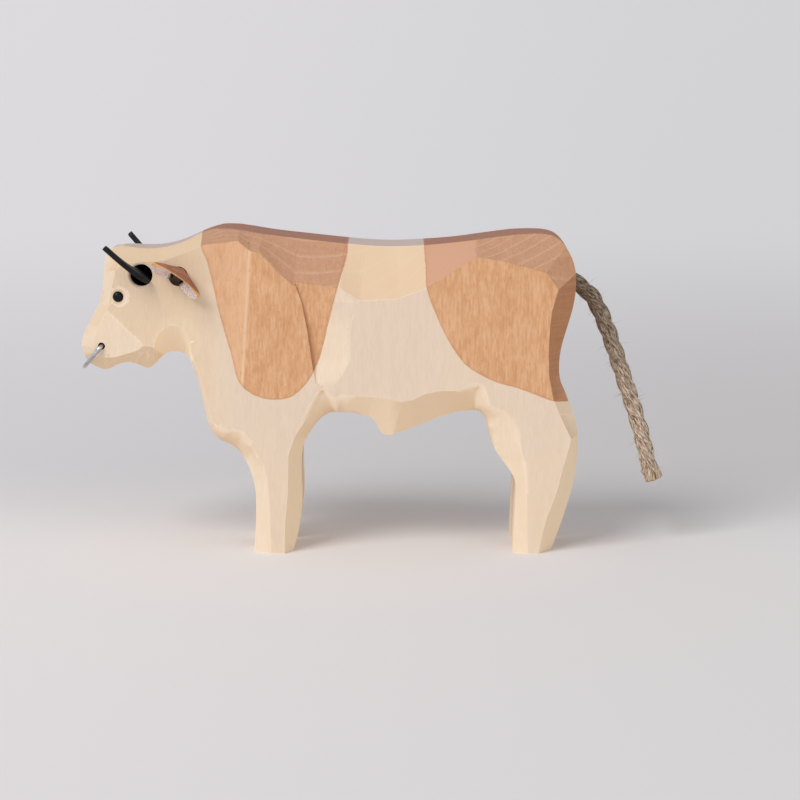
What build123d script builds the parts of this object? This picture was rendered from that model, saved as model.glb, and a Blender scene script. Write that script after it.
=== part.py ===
"""A bull figurine, sawn from a plank of limewood and faceted with a knife.

The bull faces -X and stands on Z = 0, and the middle of the plank's thickness is Y = 0.
The saw outline lies in the XZ plane. Both sides are carved alike, so one side is cut and
mirrored. Horns and ears are leather, pressed into drilled holes, the eyes are domed pins,
the ring is a wire bow in a hole across the snout, and the tail is a length of rope.
"""

import os
from math import cos, degrees, hypot, pi, radians, sin, sqrt, tan

from build123d import *

os.makedirs("parts", exist_ok=True)

# The plank and its outline. Places on it are shares of its length, from the nose, and of
# its height, from the floor. Depths are shares of half its thickness, from its face.
body_length = 171.5
body_height = 111.5
plank_thickness = 42.0
half_plank = plank_thickness / 2
nose_x = -body_length / 2
saw_overrun = 3.0
knife_lead = 1.0

# The slots sawn between the left and the right legs.
leg_thickness = 14.0
slot_width = plank_thickness - 2 * leg_thickness
fore_crotch_height = 38.0
hind_crotch_height = 45.0
fore_slot_shares = (0.24, 0.50)
hind_slot_shares = (0.76, 1.05)

# The head and neck are thinned towards the nose, and the muzzle again in front of its ridge.
shoulder_ridge_shares = ((0.342, 0.943), (0.307, 0.374))
neck_bottom_share = 0.35
neck_top_share = 1.10
nose_depth_share = 0.19
muzzle_ridge_shares = ((0.030, 0.793), (0.172, 0.583))
muzzle_slope = 0.26
muzzle_reach = 24.0

# Drilled holes in the head and rump.
horn_place_shares = (0.128, 0.865)
horn_hole_diameter = 7.5
horn_hole_depth = 9.0
ear_place_shares = (0.201, 0.862)
ear_hole_diameter = 6.8
ear_hole_depth = 7.0
eye_place_shares = (0.080, 0.797)
eye_hole_diameter = 1.7
eye_hole_depth = 8.0
eye_socket_radius = 6.0
eye_socket_depth = 0.7
ring_place_shares = (0.044, 0.642)
ring_hole_diameter = 2.5
tail_place_shares = (0.9935, 0.8335)
tail_hole_depth = 7.0
tail_slope = 28.0
glue_gap = 0.1

# Gouge cuts: the throat, behind the foreleg and before the hind leg. Angles are in degrees.
throat_place_shares = (0.187, 0.711)
throat_gouge_radius = 6.3
throat_gouge_angle = 45.0
throat_gouge_length = 40.0
armpit_place_shares = (0.487, 0.513)
armpit_half_angle = 30.0
armpit_lean_angle = 10.0
armpit_reach = 12.0
groin_place_shares = (0.799, 0.531)
groin_half_angle = 25.0
groin_lean_angle = 8.0
groin_turn_angle = 8.0
groin_reach = 15.0

# Leather horns, cut as crescents. Their straight roots fill their holes from edge to edge.
horn_thickness = 2.4
horn_reach = 15.5
horn_spread = 13.0
horn_tip_width = 1.8
horn_tip_bevel = 1.2
left_horn_rise_angle = 36.5
right_horn_rise_angle = 50.0

# Leather ears. Each is a leaf that is rolled to a tube in its hole and flares outside it. The
# flare is a row of cones, given by shares of the length and of the widest radius, and the
# leaf's edge by shares of the length and of half the width.
ear_leather = 1.2
ear_length = 14.0
ear_width = 18.4
ear_flare_radius = 13.5
ear_root_length = 5.6
ear_neck_length = 0.7
ear_slit_depth = 2.2
ear_turn_angle = -35.0
ear_flare_shares = ((0.50, 0.94), (1.00, 1.00))
ear_leaf_shares = [(0.21, 0.57), (0.50, 1.00), (0.75, 0.84), (0.92, 0.48)]

# Domed eye pins.
eye_diameter = 3.5
eye_rim_height = 0.5
eye_dome_height = 1.1
eye_shank_length = 7.0

# The nose ring, a wire bow, at the angle at which it rests on the lip.
ring_wire_diameter = 1.45
ring_reach = 10.2
ring_corner_radius = 6.6
ring_bend_radius = 1.6
ring_end_length = 6.0
ring_side_gap = 0.8
ring_hang_angle = 50.0

# The rope tail. Its route runs from inside the hole to the cut end, as X and Z from the
# mouth of the hole, and its arcs are as large as their runs allow.
rope_diameter = 5.7
rope_arc_share = 0.45
rope_points = [(4.8, -2.55), (10.4, -12.9), (17.2, -32.0), (24.4, -53.8), (28.2, -70.8)]


def on_plank(share):
    """X and Z of a place given as shares of the length and the height."""
    return nose_x + body_length * share[0], body_height * share[1]


def side_depth(share):
    """How far below the plank's face the thinned side lies at a place.

    The neck falls in a straight line from the shoulder ridge to the nose, and the muzzle
    falls again by its slope times the distance in front of its own ridge.
    """
    if share[1] < neck_bottom_share:
        return 0
    (high_x, high_z), (low_x, low_z) = shoulder_ridge_shares
    along = (high_z - share[1]) / (high_z - low_z)
    ridge_x = high_x + (low_x - high_x) * along
    depth = half_plank * nose_depth_share * max(0, (ridge_x - share[0]) / ridge_x)
    if share[0] > muzzle_ridge_shares[1][0]:
        return depth
    (ax, az), (bx, bz) = (on_plank(end) for end in muzzle_ridge_shares)
    x, z = on_plank(share)
    ahead = ((x - ax) * (bz - az) - (z - az) * (bx - ax)) / hypot(bx - ax, bz - az)
    return depth + muzzle_slope * max(0, ahead)


def on_plank_3d(share):
    """The place on the middle plane of the plank."""
    x, z = on_plank(share)
    return x, 0, z


def side_plane(share, turn=0, right=False):
    """The plane on the bull's left or right side at a place, looking outwards."""
    x, z = on_plank(share)
    y = half_plank - side_depth(share)
    x_dir = (cos(radians(turn)), 0, sin(radians(turn)))
    if right:
        return Plane(origin=(x, y, z), x_dir=x_dir, z_dir=(0, 1, 0))
    return Plane(origin=(x, -y, z), x_dir=x_dir, z_dir=(0, -1, 0))


def knife_cut(stations, run=saw_overrun):
    """What a knife takes off along an edge, as a ruled loft through its stations.

    A station is the place of the ridge on the side, the place of the cut's outer edge on
    the saw outline, the depth share there and, if not none, the depth share of the ridge
    below the side. The cut runs past the outline by the run.
    """
    with BuildPart() as cut:
        for ridge, edge, edge_depth_share, *ridge_drop_share in stations:
            ridge_x, ridge_z = on_plank(ridge)
            edge_x, edge_z = on_plank(edge)
            width = hypot(edge_x - ridge_x, edge_z - ridge_z)
            across = Vector(edge_x - ridge_x, 0, edge_z - ridge_z) / width
            start = side_depth(ridge) + half_plank * sum(ridge_drop_share)
            slope = (half_plank * edge_depth_share - start) / width
            lead = min(knife_lead, (start + knife_lead) / slope)
            far = width + run
            section = Plane(
                origin=(ridge_x, -half_plank, ridge_z),
                x_dir=across,
                z_dir=across.cross(Vector(0, 1, 0)),
            )
            with BuildSketch(section):
                with BuildLine():
                    Polyline(
                        (-lead, start - slope * lead),
                        (far, start + slope * far),
                        (far, -saw_overrun),
                        (-lead, -saw_overrun),
                        close=True,
                    )
                make_face()
        loft(ruled=True)
    return cut.part


def gouge_cone(place, half_angle, lean_angle, turn_angle, reach):
    """A cone with its point on the side, for a hollow that widens downwards.

    The lean tips its axis out of the wood, and the turn tips it towards the head.
    """
    x, z = on_plank(place)
    point = Plane(origin=(x, side_depth(place) - half_plank, z))
    tipped = point.rotated((-lean_angle, turn_angle, 0))
    with BuildPart() as cone:
        with BuildSketch(tipped.offset(-reach)):
            Circle(reach * tan(radians(half_angle)))
        with BuildSketch(tipped):
            Circle(knife_lead / 2)
        loft()
    return cone.part


# The saw outline, walked from the forehead over the back and round to the face.
outline_shares = {
    "back": [
        (0.066, 0.937), (0.083, 0.941), (0.115, 0.938), (0.156, 0.938), (0.190, 0.948),
        (0.219, 0.965), (0.243, 0.983), (0.270, 0.997), (0.302, 1.000), (0.366, 0.986),
        (0.442, 0.971), (0.532, 0.956), (0.615, 0.947), (0.692, 0.951), (0.770, 0.962),
        (0.851, 0.979), (0.912, 0.985), (0.953, 0.974), (0.980, 0.929), (0.9935, 0.846),
    ],
    "thigh": [
        (0.9935, 0.846), (0.9915, 0.790), (0.981, 0.722), (0.968, 0.655), (0.961, 0.590),
        (0.964, 0.533), (0.980, 0.471), (0.997, 0.396), (1.000, 0.335), (0.997, 0.255),
        (0.985, 0.170), (0.964, 0.068), (0.948, 0.0),
    ],
    "shin": [(0.869, 0.0), (0.872, 0.110), (0.875, 0.200)],
    "stifle": [
        (0.875, 0.200), (0.868, 0.245), (0.849, 0.287), (0.830, 0.331), (0.818, 0.385),
        (0.811, 0.425), (0.803, 0.438),
    ],
    "flank": [(0.803, 0.438), (0.764, 0.438), (0.720, 0.420), (0.618, 0.361)],
    "sheath": [(0.618, 0.361), (0.603, 0.371), (0.593, 0.403), (0.577, 0.424)],
    "girth": [(0.577, 0.424), (0.545, 0.430), (0.501, 0.433)],
    "elbow": [
        (0.501, 0.433), (0.481, 0.411), (0.461, 0.373), (0.448, 0.335), (0.443, 0.295),
        (0.4435, 0.165), (0.440, 0.096), (0.426, 0.0),
    ],
    "knee": [
        (0.347, 0.0), (0.3505, 0.075), (0.352, 0.150), (0.350, 0.205), (0.343, 0.247),
        (0.330, 0.291), (0.312, 0.320), (0.284, 0.343),
    ],
    "chest": [
        (0.284, 0.343), (0.266, 0.373), (0.256, 0.412), (0.247, 0.471), (0.239, 0.528),
        (0.232, 0.567), (0.221, 0.599), (0.205, 0.614), (0.176, 0.615),
    ],
    "jaw": [(0.176, 0.615), (0.163, 0.604), (0.147, 0.580), (0.133, 0.567)],
    "chin": [
        (0.133, 0.567), (0.113, 0.579), (0.090, 0.585), (0.070, 0.575), (0.049, 0.560),
        (0.031, 0.566), (0.013, 0.585), (0.003, 0.612), (0.000, 0.642), (0.008, 0.683),
        (0.022, 0.725), (0.037, 0.765),
    ],
    "brow": [(0.037, 0.765), (0.0435, 0.805), (0.0455, 0.850), (0.048, 0.893)],
    "forehead": [(0.048, 0.893), (0.054, 0.921), (0.066, 0.937)],
}

# The knife cuts, each a list of stations from its start to its end.
upper_stations = [
    # The jaw, the chin and the nose.
    ((0.167, 0.616), (0.170, 0.608), 0.20), ((0.148, 0.644), (0.152, 0.587), 0.44),
    ((0.128, 0.646), (0.137, 0.569), 0.47), ((0.118, 0.632), (0.112, 0.579), 0.52),
    ((0.106, 0.624), (0.102, 0.583), 0.54), ((0.094, 0.618), (0.092, 0.585), 0.56),
    ((0.072, 0.606), (0.070, 0.575), 0.60), ((0.046, 0.601), (0.045, 0.561), 0.63),
    ((0.032, 0.604), (0.013, 0.583), 0.63), ((0.025, 0.618), (0.003, 0.608), 0.62),
    ((0.023, 0.638), (0.000, 0.636), 0.60), ((0.027, 0.667), (0.004, 0.665), 0.58),
    ((0.036, 0.700), (0.0135, 0.701), 0.56), ((0.049, 0.733), (0.025, 0.731), 0.50),
    # The brow, the crown and the neck.
    ((0.062, 0.772), (0.0385, 0.769), 0.44), ((0.067, 0.825), (0.0435, 0.812), 0.54),
    ((0.076, 0.878), (0.046, 0.862), 0.62), ((0.089, 0.902), (0.055, 0.925), 0.64),
    ((0.125, 0.905), (0.113, 0.938), 0.64), ((0.169, 0.908), (0.156, 0.938), 0.64),
    ((0.197, 0.924), (0.190, 0.948), 0.64), ((0.225, 0.942), (0.218, 0.964), 0.68),
    # The withers, the back and the rump.
    ((0.252, 0.958), (0.243, 0.983), 0.80), ((0.290, 0.968), (0.285, 1.000), 0.52),
    ((0.321, 0.972), (0.320, 0.998), 0.45), ((0.346, 0.941), (0.343, 0.992), 0.45),
    ((0.363, 0.937), (0.368, 0.986), 0.45, 0.01), ((0.396, 0.891), (0.404, 0.978), 0.45, 0.04),
    ((0.430, 0.846), (0.440, 0.971), 0.45, 0.05), ((0.476, 0.840), (0.486, 0.963), 0.45, 0.04),
    ((0.522, 0.834), (0.532, 0.956), 0.45, 0.02), ((0.561, 0.788), (0.570, 0.951), 0.45),
    ((0.633, 0.793), (0.640, 0.947), 0.45), ((0.693, 0.826), (0.692, 0.951), 0.45),
    ((0.795, 0.923), (0.792, 0.966), 0.45), ((0.860, 0.905), (0.868, 0.981), 0.45),
    ((0.933, 0.875), (0.972, 0.945), 0.40),
    # The thigh, the hock and the hind foot.
    ((0.957, 0.823), (0.993, 0.865), 0.33), ((0.944, 0.757), (0.987, 0.752), 0.33),
    ((0.940, 0.699), (0.975, 0.690), 0.33), ((0.938, 0.637), (0.964, 0.629), 0.33),
    ((0.939, 0.559), (0.961, 0.552), 0.33), ((0.949, 0.479), (0.979, 0.474), 0.33),
    ((0.961, 0.435), (0.989, 0.431), 0.33), ((0.984, 0.360), (1.000, 0.362), 0.33),
    ((0.976, 0.310), (0.999, 0.297), 0.36), ((0.966, 0.257), (0.996, 0.240), 0.38),
    ((0.959, 0.210), (0.990, 0.195), 0.36), ((0.949, 0.163), (0.983, 0.155), 0.36),
    ((0.937, 0.116), (0.973, 0.107), 0.36), ((0.929, 0.069), (0.963, 0.062), 0.36),
    ((0.919, -0.010), (0.947, -0.010), 0.36),
]
front_stations = [
    # The front of the neck, the chest, the knee and the forefoot.
    ((0.224, 0.632), (0.213, 0.607), 0.19), ((0.243, 0.550), (0.2355, 0.547), 0.19),
    ((0.267, 0.410), (0.2565, 0.408), 0.18), ((0.280, 0.368), (0.270, 0.362), 0.17),
    ((0.296, 0.362), (0.290, 0.338), 0.18), ((0.322, 0.371), (0.312, 0.320), 0.22),
    ((0.350, 0.325), (0.330, 0.291), 0.20), ((0.367, 0.280), (0.341, 0.258), 0.16),
    ((0.375, 0.232), (0.348, 0.222), 0.15),
    ((0.379, 0.169), (0.352, 0.164), 0.14), ((0.382, -0.010), (0.347, -0.010), 0.17),
]
foreleg_rear_stations = [
    ((0.482, 0.508), (0.506, 0.440), 0.20), ((0.464, 0.447), (0.487, 0.417), 0.30),
    ((0.430, 0.364), (0.454, 0.354), 0.33), ((0.418, 0.310), (0.444, 0.303), 0.33),
    ((0.4165, 0.192), (0.4435, 0.188), 0.31), ((0.411, 0.106), (0.441, 0.100), 0.34),
    ((0.409, -0.010), (0.426, -0.010), 0.28),
]
belly_stations = [
    ((0.515, 0.470), (0.519, 0.432), 0.24), ((0.530, 0.470), (0.535, 0.431), 0.28),
    ((0.556, 0.494), (0.555, 0.429), 0.30), ((0.586, 0.492), (0.577, 0.424), 0.30),
    ((0.616, 0.485), (0.594, 0.400), 0.33), ((0.637, 0.477), (0.612, 0.362), 0.40),
    ((0.647, 0.476), (0.627, 0.365), 0.34), ((0.667, 0.482), (0.665, 0.386), 0.30),
    ((0.692, 0.501), (0.702, 0.410), 0.30), ((0.722, 0.510), (0.732, 0.427), 0.30),
    ((0.761, 0.510), (0.764, 0.438), 0.30), ((0.788, 0.519), (0.793, 0.439), 0.30),
]
shin_stations = [
    ((0.858, 0.452), (0.812, 0.425), 0.05), ((0.876, 0.372), (0.824, 0.350), 0.13),
    ((0.890, 0.290), (0.851, 0.284), 0.13), ((0.896, 0.190), (0.874, 0.185), 0.10),
    ((0.899, -0.010), (0.869, -0.010), 0.12),
]
shoulder_step_stations = [
    ((0.517, 0.834), (0.431, 0.849), 0.05), ((0.556, 0.780), (0.446, 0.785), 0.06),
    ((0.541, 0.700), (0.458, 0.690), 0.08), ((0.542, 0.605), (0.466, 0.600), 0.085),
    ((0.507, 0.508), (0.473, 0.535), 0.02),
]
outline_cuts = [
    upper_stations, front_stations, foreleg_rear_stations, belly_stations, shin_stations,
]

# The carved wood.
(high_x, high_z), (low_x, low_z) = shoulder_ridge_shares
ridge_lean_share = (high_x - low_x) / (high_z - low_z)
with BuildPart() as neck_thinning:
    for level in (neck_bottom_share, neck_top_share):
        ridge_x, height = on_plank((high_x + ridge_lean_share * (level - high_z), level))
        fall = half_plank * nose_depth_share / (ridge_x - nose_x)
        lead, reach = ridge_x + knife_lead, nose_x - saw_overrun
        with BuildSketch(Plane.XY.offset(height)):
            with BuildLine():
                Polyline(
                    (lead, -half_plank - fall * knife_lead),
                    (reach, -half_plank + fall * (ridge_x - reach)),
                    (reach, -half_plank - saw_overrun),
                    (lead, -half_plank - saw_overrun),
                    close=True,
                )
            make_face()
    loft(ruled=True)

(ax, az), (bx, bz) = (on_plank(end) for end in muzzle_ridge_shares)
muzzle_run = hypot(bx - ax, bz - az)
ahead_shares = (
    muzzle_reach * (bz - az) / muzzle_run / body_length,
    muzzle_reach * (ax - bx) / muzzle_run / body_height,
)
muzzle_thinning = knife_cut(
    [
        (
            end,
            (end[0] + ahead_shares[0], end[1] + ahead_shares[1]),
            (side_depth(end) + muzzle_slope * muzzle_reach) / half_plank,
        )
        for end in muzzle_ridge_shares
    ]
)

throat_x, throat_z = on_plank(throat_place_shares)
throat_side = side_depth(throat_place_shares) - half_plank
gouge = radians(throat_gouge_angle)
with BuildPart() as throat_gouge:
    with BuildSketch(
        Plane(
            origin=(
                throat_x,
                throat_side - throat_gouge_radius * cos(gouge),
                throat_z - throat_gouge_radius * sin(gouge),
            ),
            z_dir=(0, sin(gouge), -cos(gouge)),
        )
    ):
        Circle(throat_gouge_radius)
    extrude(amount=throat_gouge_length / 2, both=True)

armpit = gouge_cone(armpit_place_shares, armpit_half_angle, armpit_lean_angle, 0, armpit_reach)
groin = gouge_cone(
    groin_place_shares, groin_half_angle, groin_lean_angle, groin_turn_angle, groin_reach
)
cuts = [knife_cut(stations) for stations in outline_cuts]
shoulder_step = knife_cut(shoulder_step_stations, run=0)

mouth_x, mouth_z = on_plank(tail_place_shares)
tail_plane = Plane(
    origin=(mouth_x, 0, mouth_z),
    z_dir=(cos(radians(tail_slope)), 0, -sin(radians(tail_slope))),
)

with BuildPart() as carved_body:
    with BuildSketch(Plane.XZ):
        with BuildLine():
            for shares in outline_shares.values():
                Spline([on_plank(share) for share in shares])
            for heel, toe in (("thigh", "shin"), ("elbow", "knee")):
                Line(on_plank(outline_shares[heel][-1]), on_plank(outline_shares[toe][0]))
        make_face()
    extrude(amount=half_plank)
    add(neck_thinning.part, mode=Mode.SUBTRACT)
    add(muzzle_thinning, mode=Mode.SUBTRACT)
    for cut in cuts:
        add(cut, mode=Mode.SUBTRACT)
    add(shoulder_step, mode=Mode.SUBTRACT)
    add(throat_gouge.part, mode=Mode.SUBTRACT)
    add(armpit, mode=Mode.SUBTRACT)
    add(groin, mode=Mode.SUBTRACT)

    mirror(about=Plane.XZ)
    for shares, crotch in (
        (fore_slot_shares, fore_crotch_height),
        (hind_slot_shares, hind_crotch_height),
    ):
        slot_start, slot_end = (on_plank((share, 0))[0] for share in shares)
        with BuildSketch(Plane.YZ.offset(slot_start)):
            Rectangle(slot_width, 2 * crotch - slot_width)
            with Locations((0, crotch - slot_width / 2)):
                Circle(slot_width / 2)
        extrude(amount=slot_end - slot_start, mode=Mode.SUBTRACT)
    for place, diameter, depth in (
        (horn_place_shares, horn_hole_diameter, horn_hole_depth),
        (ear_place_shares, ear_hole_diameter, ear_hole_depth),
        (eye_place_shares, eye_hole_diameter, eye_socket_depth + eye_hole_depth),
        (eye_place_shares, eye_diameter + 2 * glue_gap, eye_socket_depth + eye_rim_height),
    ):
        for side in (side_plane(place), side_plane(place, right=True)):
            with BuildSketch(side.offset(-depth)):
                Circle(diameter / 2)
            extrude(amount=depth + saw_overrun, mode=Mode.SUBTRACT)
    for side in (side_plane(eye_place_shares), side_plane(eye_place_shares, right=True)):
        with Locations(side.offset(eye_socket_radius - eye_socket_depth)):
            Sphere(eye_socket_radius, mode=Mode.SUBTRACT)
    with BuildSketch(Plane.XZ.shift_origin(on_plank_3d(ring_place_shares))):
        Circle(ring_hole_diameter / 2)
    extrude(amount=plank_thickness, both=True, mode=Mode.SUBTRACT)
    with BuildSketch(tail_plane.offset(-tail_hole_depth)):
        Circle(rope_diameter / 2 + glue_gap)
    extrude(amount=tail_hole_depth + saw_overrun, mode=Mode.SUBTRACT)


def leather_horn(rise_angle):
    """A strap of thick leather, straight in its hole and curving out and up at the rise."""
    face = side_plane(horn_place_shares)
    rise = radians(rise_angle)
    blade = Plane(origin=face.origin, x_dir=face.z_dir, z_dir=(-sin(rise), 0, -cos(rise)))
    half_width = sqrt(horn_hole_diameter**2 - horn_thickness**2) / 2 - glue_gap
    root = glue_gap - horn_hole_depth
    tip = (horn_spread, horn_reach)
    inner_tip = (horn_spread - horn_tip_width, horn_reach - horn_tip_bevel)
    with BuildPart() as horn:
        with BuildSketch(blade):
            with BuildLine():
                Spline((0, -half_width), tip, tangents=((1, 0), (0, 1)))
                Line(tip, inner_tip)
                Spline((0, half_width), inner_tip, tangents=((1, 0), (0, 1)))
                Polyline((0, half_width), (root, half_width), (root, -half_width), (0, -half_width))
            make_face()
        extrude(amount=horn_thickness / 2, both=True)
    return horn.part


with BuildPart() as left_horn:
    add(leather_horn(left_horn_rise_angle))
with BuildPart() as right_horn:
    mirror(leather_horn(right_horn_rise_angle), about=Plane.XZ)

# The ears. Each is a flared tube of leather, which the leaf's outline and the slit under it trim.
ear_face = side_plane(ear_place_shares, turn=ear_turn_angle)
roll_radius = ear_hole_diameter / 2 - glue_gap - ear_leather / 2
flare = [(-ear_root_length, roll_radius), (ear_neck_length, roll_radius)]
for length_share, radius_share in ear_flare_shares:
    flare.append((ear_length * length_share, ear_flare_radius * radius_share))
leaf_plane = Plane(
    origin=ear_face.origin - ear_face.y_dir * ear_slit_depth,
    x_dir=-ear_face.x_dir,
    z_dir=ear_face.y_dir,
)
leaf_edge = [
    (ear_width / 2 * width_share, ear_length * length_share)
    for length_share, width_share in ear_leaf_shares
]
with BuildPart() as left_ear:
    for skin, mode in ((ear_leather / 2, Mode.ADD), (-ear_leather / 2, Mode.SUBTRACT)):
        for out, radius in flare:
            with BuildSketch(ear_face.offset(out)):
                with Locations((0, roll_radius - radius)):
                    Circle(radius + skin)
        loft(ruled=True, mode=mode)
    with BuildSketch(leaf_plane):
        with BuildLine():
            neck = (ear_hole_diameter / 2, ear_neck_length)
            Polyline((0, -ear_root_length), (neck[0], -ear_root_length), neck)
            Spline(neck, *leaf_edge, (0, ear_length), tangents=((1, 1), (-1, 0)))
            mirror(about=Plane.YZ)
        make_face()
    extrude(amount=ear_slit_depth + roll_radius + ear_leather, mode=Mode.INTERSECT)
with BuildPart() as right_ear:
    mirror(left_ear.part, about=Plane.XZ)

# The eye pins, turned about the axis of their holes.
eye_face = side_plane(eye_place_shares).offset(-eye_socket_depth - eye_rim_height)
shank_radius = eye_hole_diameter / 2 - glue_gap / 2
with BuildPart() as left_eye_pin:
    with BuildSketch(Plane(origin=eye_face.origin, x_dir=(1, 0, 0), z_dir=(0, 0, 1))):
        with BuildLine():
            Polyline(
                (0, -eye_rim_height - eye_dome_height),
                (0, eye_shank_length),
                (shank_radius, eye_shank_length),
                (shank_radius, 0),
                (eye_diameter / 2, 0),
                (eye_diameter / 2, -eye_rim_height),
            )
            TangentArc(
                (0, -eye_rim_height - eye_dome_height),
                (eye_diameter / 2, -eye_rim_height),
                tangent=(1, 0),
            )
        make_face()
    revolve(axis=Axis(eye_face.origin, eye_face.z_dir))
with BuildPart() as right_eye_pin:
    mirror(left_eye_pin.part, about=Plane.XZ)



def round_bar(path, diameter):
    """A bar along a line of straight runs and arcs: cylinders, and rings' parts at the arcs."""
    with BuildPart() as bar:
        for run in path.edges():
            with BuildSketch(Plane(origin=run @ 0, z_dir=run % 0)):
                Circle(diameter / 2)
            if run.geom_type == GeomType.LINE:
                extrude(amount=run.length)
            else:
                pivot = Axis(run.arc_center, (run @ 0 - run.arc_center).cross(run % 0))
                revolve(axis=pivot, revolution_arc=degrees(run.length / run.radius))
    return bar.part


# The nose ring.
snout_half_width = half_plank - side_depth(ring_place_shares)
ring_half_width = snout_half_width + ring_side_gap + ring_wire_diameter / 2
hang = radians(ring_hang_angle)
bow_plane = Plane(
    origin=on_plank_3d(ring_place_shares),
    x_dir=(0, 1, 0),
    z_dir=(-sin(hang), 0, cos(hang)),
)
with BuildLine(bow_plane) as bow:
    FilletPolyline(
        (ring_end_length - snout_half_width, 0),
        (-ring_half_width, 0),
        (-ring_half_width, ring_reach),
        (ring_half_width, ring_reach),
        (ring_half_width, 0),
        (snout_half_width - ring_end_length, 0),
        radius=[ring_bend_radius, ring_corner_radius, ring_corner_radius, ring_bend_radius],
    )
with BuildPart() as nose_ring:
    add(round_bar(bow, ring_wire_diameter))

# The tail.
root = (
    mouth_x - tail_hole_depth * cos(radians(tail_slope)),
    mouth_z + tail_hole_depth * sin(radians(tail_slope)),
)
route = [root] + [(mouth_x + x, mouth_z + z) for x, z in rope_points]
arc_radii = []
for before, corner, after in zip(route, route[1:], route[2:]):
    run_in = Vector(*corner) - Vector(*before)
    run_out = Vector(*after) - Vector(*corner)
    shorter = min(run_in.length, run_out.length)
    half_turn = radians(run_in.get_angle(run_out)) / 2
    arc_radii.append(rope_arc_share * shorter / tan(half_turn))
with BuildLine(Plane.XZ) as rope_line:
    FilletPolyline(*route, radius=arc_radii)
with BuildPart() as tail_rope:
    add(round_bar(rope_line, rope_diameter))
print("tail radii", [round(radius, 1) for radius in arc_radii])
rope_length = sum(run.length for run in rope_line.edges())
print("tail length", round(rope_length, 2))
tube_volume = rope_length * pi * (rope_diameter / 2) ** 2
print("tail volume over section times length", round(tail_rope.part.volume / tube_volume, 4))

pieces = {
    "carved_body": carved_body,
    "left_horn": left_horn,
    "right_horn": right_horn,
    "left_ear": left_ear,
    "right_ear": right_ear,
    "left_eye_pin": left_eye_pin,
    "right_eye_pin": right_eye_pin,
    "nose_ring": nose_ring,
    "tail_rope": tail_rope,
}
for name, piece in pieces.items():
    piece.part.label = name
    export_step(piece.part, f"parts/{name}.step")
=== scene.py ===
"""A carved wooden bull figurine on a pale studio floor.

The bull faces -X, its left side is -Y and it stands on Z = 0. All lengths are in metres.
"""

from math import cos, pi, radians, sin

import bmesh
import bpy
import numpy as np
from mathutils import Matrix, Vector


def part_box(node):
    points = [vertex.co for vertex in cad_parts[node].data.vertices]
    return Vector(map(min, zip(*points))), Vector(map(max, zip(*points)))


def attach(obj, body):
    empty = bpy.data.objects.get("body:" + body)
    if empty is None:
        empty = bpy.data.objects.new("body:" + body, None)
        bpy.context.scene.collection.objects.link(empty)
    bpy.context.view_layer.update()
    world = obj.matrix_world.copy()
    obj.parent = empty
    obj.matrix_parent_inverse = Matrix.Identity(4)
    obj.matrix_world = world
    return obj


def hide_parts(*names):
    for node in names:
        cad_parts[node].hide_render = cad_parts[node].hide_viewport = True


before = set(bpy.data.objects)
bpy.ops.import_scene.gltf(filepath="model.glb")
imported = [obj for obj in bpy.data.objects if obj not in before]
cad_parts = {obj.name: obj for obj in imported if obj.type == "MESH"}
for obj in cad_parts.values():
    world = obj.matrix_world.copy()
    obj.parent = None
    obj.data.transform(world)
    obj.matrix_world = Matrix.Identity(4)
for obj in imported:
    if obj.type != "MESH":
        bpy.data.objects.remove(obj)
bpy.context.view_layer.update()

# The camera. It stands nearly a metre from the bull's left side, a little above its back,
# and looks down at it with a long lens.
camera_place = (0.0243, -0.961, 0.2011)
camera_tilt = 8.91
camera_lens = 125.06

lens = bpy.data.cameras.new("camera")
lens.lens = camera_lens
camera = bpy.data.objects.new("camera", lens)
camera.location = camera_place
camera.rotation_euler = (radians(90 - camera_tilt), 0, 0)
bpy.context.scene.collection.objects.link(camera)
bpy.context.scene.camera = camera
bpy.context.scene.view_settings.view_transform = "Standard"

# The studio. The bull stands on a pale seamless floor, which runs back out of sight. Its colour
# holds a painted soft shadow behind the bull and painted shade towards the right. It isn't part
# of the object.
floor_radius = 45.0
floor_corners = 64
floor_tones = {
    "left": ((234, 230, 229), (217, 214, 215), (229, 227, 228)),
    "right": ((223, 220, 219), (198, 196, 195), (219, 218, 219)),
}
floor_shadow_span = (-0.03, 0.17)
floor_far_span = (0.18, 1.2)
floor_right_shade_span = (-0.15, 0.15)
floor_bounce = (240, 237, 233)


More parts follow.
